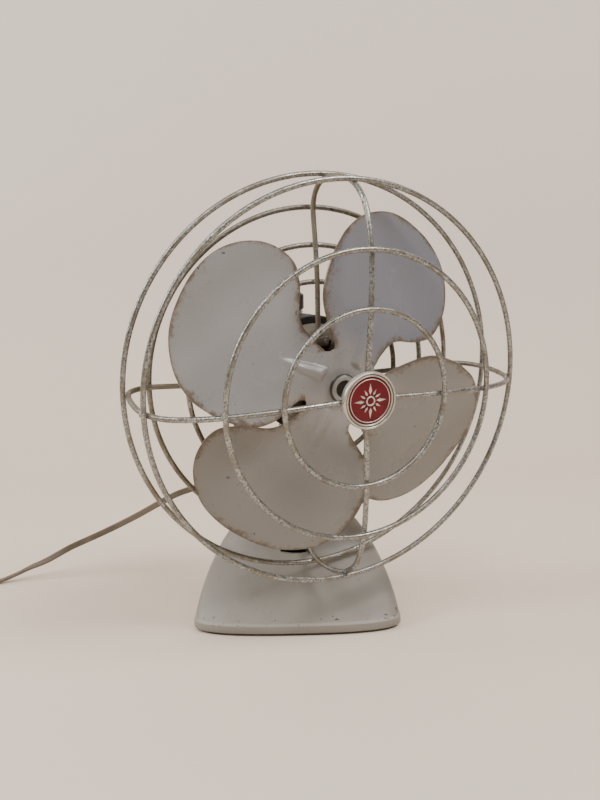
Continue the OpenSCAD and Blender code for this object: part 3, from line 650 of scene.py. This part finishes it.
# ---- base shell --------------------------------------------------------------------------------------
BASE_LEVELS = [
    (2, 86, -46, 24, 103, 2.7), (3.5, 87, -46, 25, 104, 2.7), (8.5, 87, -46, 25, 104, 2.7),
    (10.5, 86, -45.5, 23.5, 102.5, 2.6), (17.5, 84.5, -41, 21, 97, 2.5), (25, 82.5, -35, 19.5, 90, 2.4),
    (35, 79, -25.5, 20, 79, 2.2), (45, 74.5, -15, 22, 67, 2), (56, 68.5, -3.5, 25, 52.5, 1.75),
    (66, 62, 1, 24, 44, 1.65), (75, 55, 6, 24, 35, 1.6), (83, 46.5, 8.5, 24, 25.5, 1.55),
    (89, 38, 6, 22, 23, 1.6), (93.5, 29, 3, 19.5, 20, 1.8), (96.5, 21, 0, 16.5, 18, 2)]
PLAN_STEPS = 144
NECK_HOLE_R = 12.3
CROWN_Z = 96.5
CROWN_UNDER_Z = 95
WALL_T = 2
SLOT_Z = 58
SLOT_SHAPE = [
    (-13.5, 1.8), (-13.5, -0.2), (-9, -1), (-4, -1.6),
    (4, -1.6), (9, -1), (13.5, -0.2), (13.5, 1.8)]
GLAND_AT = Vector((-27.4, 27.4, 83.6))
GLAND_LEAN = 50
GLAND = Matrix.Translation(GLAND_AT) @ turn("Z", 135) @ turn("Y", GLAND_LEAN)


def plan_ring(level, inset, n=PLAN_STEPS):
    z, half_width, middle, front, back, fullness = level
    ring = []
    for k in range(n):
        t = math.tau * k / n
        c, s = math.cos(t), math.sin(t)
        full = fullness if s < 0 else 2.1
        reach = (front if s < 0 else back) - inset
        ring.append(((half_width - inset) * math.copysign(abs(c) ** (2 / full), c),
                     middle + reach * math.copysign(abs(s) ** (2 / full), s), z))
    return ring


def base_levels():
    """The lip stays crisp and the flare above it is smooth."""
    lip = [(2, 85.6, -46, 23.6, 102.6, 2.7), (2.5, 86.4, -46, 24.4, 103.4, 2.7),
           (3.6, 87, -46, 25, 104, 2.7), (8.4, 87, -46, 25, 104, 2.7), (9.2, 86.7, -46, 24.6, 103.6, 2.7),
           (9.8, 86.2, -45.8, 24, 103, 2.65), (10.5, 86, -45.5, 23.5, 102.5, 2.6)]
    flare = spline(BASE_LEVELS[3:], 6)
    return lip + [tuple(level) for level in flare[1:]]


def loft(rings):
    points = [p for ring in rings for p in ring]
    n = len(rings[0])
    faces = []
    for i in range(len(rings) - 1):
        for k in range(n):
            m = (k + 1) % n
            faces.append([i * n + k, i * n + m, (i + 1) * n + m, (i + 1) * n + k])
    return points, faces


def cut(piece, cutters):
    """Takes the cutters out of the piece and removes them."""
    for cutter in cutters:
        modifier = piece.modifiers.new("cut", "BOOLEAN")
        modifier.operation = "DIFFERENCE"
        modifier.solver = "EXACT"
        modifier.object = cutter
    graph = bpy.context.evaluated_depsgraph_get()
    mesh = bpy.data.meshes.new_from_object(piece.evaluated_get(graph))
    piece.modifiers.clear()
    piece.data = mesh
    for cutter in cutters:
        bpy.data.objects.remove(cutter)


def plain_solid(name, points, faces, place=ROW):
    mesh = bpy.data.meshes.new(name)
    mesh.from_pydata([(Matrix.Scale(MM, 4) @ place) @ Vector(p) for p in points], [], faces)
    solid = bpy.data.objects.new(name, mesh)
    bpy.context.collection.objects.link(solid)
    return solid


def bar(outline, y_front, y_back):
    """A bar along Y whose section is the outline of (x, height) points."""
    n = len(outline)
    points = [(x, y, SLOT_Z + z) for y in (y_front, y_back) for x, z in outline]
    faces = [list(range(n)), list(reversed(range(n, 2 * n)))]
    faces += [[k, n + k, n + (k + 1) % n, (k + 1) % n] for k in range(n)]
    return points, faces


def base_material():
    s, colour = aged("base_enamel", (0.280, 0.258, 0.226), (0.230, 0.208, 0.178), (0.15, 0.12, 0.09),
                     roughness=(0.38, 0.55), mottle=11, grain=430, speck=0.4, dirt=0.3, bump=0.2)
    height = s.node("ShaderNodeSeparateXYZ", Vector=s.place).outputs["Z"]
    band = s.math("MULTIPLY", s.step(height, 0.006, 0.010), s.step(height, 0.020, 0.011))
    foot = s.step(height, 0.0055, 0.002)
    lift = s.math("ADD", s.math("MULTIPLY", band, 0.12), s.math("MULTIPLY", foot, 0.12))
    chips = s.step(s.math("ADD", s.noise(190, 4, 0.65), lift), 0.725, 0.75)
    colour = s.mix(chips, colour, (0.035, 0.028, 0.022))
    # painted highlight: a lighter band along the rounded top of the lip
    lip_highlight = s.math("MULTIPLY", s.step(height, 0.0078, 0.0092), s.step(height, 0.0112, 0.0098))
    colour = s.mix(s.math("MULTIPLY", lip_highlight, 0.45), colour, (0.42, 0.39, 0.35))
    s.paint(colour)
    return s.material


def make_base():
    levels = base_levels()
    outer = [plan_ring(level, 0) for level in levels]
    drop = CROWN_Z - CROWN_UNDER_Z
    inner = [[(x, y, z - drop) for x, y, z in plan_ring(level, WALL_T)] for level in levels[3:]]
    inner = [[(x, y, levels[0][0]) for x, y, z in plan_ring(levels[2], WALL_T)]] + inner
    angles = [math.tau * k / PLAN_STEPS for k in range(PLAN_STEPS)]
    top = [(NECK_HOLE_R * math.cos(a), NECK_HOLE_R * math.sin(a), CROWN_Z) for a in angles]
    under = [(x, y, CROWN_UNDER_Z) for x, y, z in top]
    points, faces = loft(outer + [top, under] + list(reversed(inner)) + [outer[0]])
    shell = add_mesh("base_cover", points, faces, ROW, "base", base_material(),
                     node=("base_skirt", "base_flare", "base_shoulder", "base_crown"))
    slot = plain_solid("slot_cutter", *bar(SLOT_SHAPE, -60, -10))
    hole_points, hole_faces = lathe([(0, -8), (4.7, -8), (4.7, 8), (0, 8)], 40)
    hole = plain_solid("gland_cutter", hole_points, hole_faces, GLAND)
    cut(shell, [slot, hole])


make_base()


# ---- badge ------------------------------------------------------------------------------------------
def make_badge():
    rim = [(0, 133.7), (20.2, 133.7), (21, 134.2), (21.3, 135.2), (21.3, 136.6), (20.9, 138), (20.4, 138.6),
           (19.9, 138.6), (19.4, 138.2), (19.15, 137.3), (18.95, 137.2), (18.7, 137.9), (18.2, 138.3),
           (17.8, 138.1), (17.6, 137.3), (17.3, 137.2), (0, 137.1)]
    points, faces = lathe(rim, 120)
    dark_mark = [math.exp(-((math.hypot(p[0], p[1]) - 19.05) / 0.3) ** 2) for p in points]
    add_mesh("badge_rim", points, faces, HEAD, "head", nickel_material(), node=("badge_bezel",),
             marks={"dark_mark": dark_mark})
    dome = [(17.55, 137.15), (17.5, 137.45)] + [
        (r, enamel_height(r)) for r in (17, 16, 14, 12, 10, 8, 6, 4, 2)] + [(0, enamel_height(0))]
    points, faces = lathe(dome, 96)
    add_mesh("badge_enamel", points, faces, HEAD, "head", enamel_material(), node=("badge_face",))
    parts = []
    for k in range(12):
        long_ray = k % 3 == 0
        parts.append(ray_shape(math.radians(30 * k), 4.6, 13.2 if long_ray else 9.6,
                               1.5 if long_ray else 1.05))
    for radius, width in ((3.1, 0.62), (15.8, 0.35)):
        line = [Vector((radius * math.cos(math.tau * k / 96), radius * math.sin(math.tau * k / 96),
                        enamel_height(radius) + 0.05)) for k in range(96)]
        parts.append(tube(line, lambda i: circle(width, 10), closed=True))
    points, faces = join(parts)
    add_mesh("badge_star", points, faces, HEAD, "head", silver_material())


def enamel_height(r):
    return 137.5 + 0.8 * (1 - (r / 18) ** 2)


def ray_shape(angle, start, end, width):
    """One raised ray: a slim kite with a ridge along its middle."""
    c, s = math.cos(angle), math.sin(angle)
    rows = [(start, 0), ((start * 2 + end) / 3, width), (end, 0)]
    points = []
    for r, w in rows:
        z = enamel_height(r) - 0.1
        for side, lift in ((-w, 0), (0, 0.6 if w else 0.15), (w, 0)):
            points.append(Vector((r * c - side * s, r * s + side * c, z + lift)))
    faces = [[0, 3, 4, 1], [1, 4, 5, 2], [3, 6, 7, 4], [4, 7, 8, 5]]
    return points, faces


def nickel_material():
    s, colour = aged("badge_nickel", (0.60, 0.565, 0.49), (0.48, 0.45, 0.38), (0.14, 0.11, 0.08),
                     metallic=0.6, roughness=(0.25, 0.42), mottle=70, grain=900, speck=0.3, dirt=0.35)
    s.paint(s.mix(s.attribute("dark_mark"), colour, (0.05, 0.03, 0.025)))
    return s.material


def silver_material():
    s, colour = aged("badge_silver", (0.66, 0.62, 0.56), (0.50, 0.46, 0.42), (0.2, 0.12, 0.1),
                     metallic=0.6, roughness=(0.25, 0.4), mottle=90, grain=1100, speck=0.3, dirt=0.3)
    return s.material


def enamel_material():
    s, colour = aged("red_enamel", (0.135, 0.006, 0.012), (0.10, 0.005, 0.009), (0.05, 0.005, 0.007),
                     roughness=(0.3, 0.45), mottle=120, grain=1400, speck=0.25, dirt=0.3, bump=0.05,
                     Specular_IOR_Level=0.25)
    return s.material


make_badge()


# ---- strain relief and plug ------------------------------------------------------------------------------
def make_cord_ends():
    material = aged("moulded_brown", (0.045, 0.034, 0.027), (0.03, 0.023, 0.018), (0.07, 0.055, 0.04),
                    roughness=(0.45, 0.7), mottle=60, grain=800, speck=0.5, dirt=0.5)[0].material
    profile = [(3.2, -6.4), (6, -6.2), (6, -4.6), (4.5, -4.4), (4.5, 3.3), (6, 3.4), (6.3, 4), (6.2, 5.2),
               (5.6, 5.5)]
    for k in range(7):
        z = 6.4 + k * 2.7
        r = 5.6 - 1.7 * (z - 5.4) / 20.6
        profile += [(r, z), (r - 0.7, z + 0.5), (r - 0.7, z + 1.3), (r - 0.15, z + 1.8)]
    profile += [(3.9, 25.6), (3.3, 26)]
    points, faces = lathe(profile, 48, close=True)
    add_mesh("strain_relief", points, faces, GLAND, "base", material, node=("cord_gland",))


make_cord_ends()


# ---- the CAD pieces that stay: only their materials change -------------------------------------------------
def make_finishes():
    finishes = {
        "stand_enamel": (dict(light=(0.29, 0.27, 0.24), deep=(0.235, 0.215, 0.19), grime=(0.13, 0.10, 0.075),
                              mottle=24, roughness=(0.36, 0.56), dirt=0.5),
                         ["neck", "trunnion", "motor_rear_shell", "gear_case", "gear_cover"]),
        "band_black": (dict(light=(0.012, 0.012, 0.013), deep=(0.022, 0.021, 0.020),
                            grime=(0.09, 0.08, 0.065), mottle=50, roughness=(0.42, 0.62), dirt=0.35),
                       ["motor_band"]),
        "pad_felt": (dict(light=(0.030, 0.027, 0.024), deep=(0.018, 0.016, 0.014), grime=(0.07, 0.06, 0.05),
                          mottle=80, grain=1200, roughness=(0.8, 0.95), bump=0.8),
                     ["base_pad"]),
        "plain_steel": (dict(light=(0.46, 0.45, 0.43), deep=(0.34, 0.33, 0.31), grime=(0.13, 0.09, 0.06),
                             metallic=0.8, mottle=60, roughness=(0.32, 0.55), dirt=0.6),
                        ["base_plate", "base_tabs", "base_screws", "neck_nut", "switch_bracket", "tilt_bolt",
                         "thumb_nut", "gear_screws", "hub_screw", "shaft", "worm", "crank",
                         "crank_link", "badge_back"]),
        "dark_steel": (dict(light=(0.10, 0.09, 0.08), deep=(0.06, 0.055, 0.05), grime=(0.15, 0.12, 0.09),
                            metallic=0.4, mottle=60, roughness=(0.4, 0.6)),
                       ["speed_lever", "band_screws"]),
        "laminations": (dict(light=(0.20, 0.20, 0.205), deep=(0.13, 0.13, 0.135), grime=(0.10, 0.05, 0.03),
                             metallic=0.6, mottle=90, roughness=(0.45, 0.7)),
                        ["stator_core", "rotor_core", "speed_reactor"]),
        "varnished_copper": (dict(light=(0.42, 0.17, 0.07), deep=(0.30, 0.11, 0.045),
                                  grime=(0.10, 0.05, 0.03), metallic=0.7, mottle=160, grain=1500,
                                  roughness=(0.3, 0.5), bump=0.7),
                             ["stator_windings", "reactor_coil"]),
        "brass": (dict(light=(0.50, 0.36, 0.14), deep=(0.38, 0.26, 0.10), grime=(0.13, 0.09, 0.05),
                       metallic=0.85, mottle=70, roughness=(0.28, 0.48)),
                  ["bearings", "swivel_washer", "worm_wheel", "plug_prongs"]),
        "black_plastic": (dict(light=(0.022, 0.020, 0.019), deep=(0.032, 0.029, 0.027),
                               grime=(0.08, 0.07, 0.06), mottle=60, grain=900, roughness=(0.4, 0.62),
                               dirt=0.4),
                          ["speed_switch", "oscillator_knob", "plug_body", "cord_tie"]),
    }
    for name, (look, nodes) in finishes.items():
        paint_nodes(aged(name, **look)[0].material, nodes)
    paint_nodes(motor_face_material(), ["motor_front_shell", "guard_clips", "guard_screws"])


def paint_nodes(material, nodes):
    for node in nodes:
        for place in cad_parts[node].material_slots:
            place.material = material


def motor_face_material():
    """Beige dust on the motor's face; towards the shaft the colour is painted dark brown, a painted shade for
    the shadowed recess behind the hub.
    """
    s, colour = aged("dusty_face_and_shade", (0.42, 0.385, 0.31), (0.30, 0.265, 0.21), (0.12, 0.09, 0.06),
                     mottle=45, grain=300, roughness=(0.5, 0.8), dirt=0.6, speck=0.7, bump=0.5)
    centre = HEAD @ Vector((0, 0, 44)) * MM
    offset = s.node("ShaderNodeVectorMath", Vector=s.place)
    offset.operation = "DISTANCE"
    offset.inputs[1].default_value = centre
    ragged = s.math("ADD", offset.outputs["Value"], s.math("MULTIPLY", s.noise(60, 6, 0.7), 0.012))
    # painted shade: dark brown within about 34 to 43 mm of the centre of the motor's face
    s.paint(s.mix(s.step(ragged, 0.034, 0.043, 1, 0), colour, (0.05, 0.038, 0.026)))
    return s.material


make_finishes()
